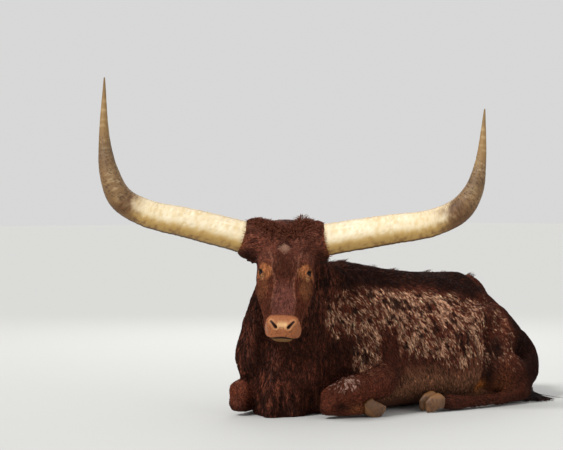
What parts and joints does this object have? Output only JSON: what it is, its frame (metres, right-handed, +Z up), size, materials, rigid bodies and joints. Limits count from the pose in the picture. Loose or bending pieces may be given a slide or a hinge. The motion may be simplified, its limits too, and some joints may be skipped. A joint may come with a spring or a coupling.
{
  "type": "longhorn steer",
  "caption": "Life-size still model of a dark red-brown longhorn steer that lies on the ground with folded legs and its head turned to the side.",
  "frame": {"origin": "on the ground at the middle of the bounding box", "axes": "+Z up, the chest points along -Y and the animal's left side along +X; the head and the horns are turned about 50 degrees to the left"},
  "size_m": [1.3024, 2.4178, 1.5775],
  "materials": {
    "coat": "short dark red-brown hair with pale flecks on the ribs",
    "long_hair": "long coarse dark hair",
    "horn_sheath": "cream horn that darkens to brown at the tips, half gloss",
    "hoof_horn": "dull grey-brown horn",
    "eye": "wet and dark"
  },
  "bodies": {
    "root": {"head": "coat", "neck": "coat", "torso": "coat", "foreleg_left": "coat", "foreleg_right": "coat", "hindleg_left": "coat", "hindleg_right": "coat", "ear_left": "coat", "ear_right": "coat", "tail": "coat", "tail_switch": "long_hair", "poll_hair_left": "long_hair", "poll_hair_right": "long_hair", "horn_left": "horn_sheath", "horn_right": "horn_sheath", "eye_left": "eye", "eye_right": "eye", "claw_fore_left_inner": "hoof_horn", "claw_fore_left_outer": "hoof_horn", "claw_fore_right_inner": "hoof_horn", "claw_fore_right_outer": "hoof_horn", "claw_hind_left_inner": "hoof_horn", "claw_hind_left_outer": "hoof_horn", "claw_hind_right_inner": "hoof_horn", "claw_hind_right_outer": "hoof_horn"}
  },
  "joints": []
}
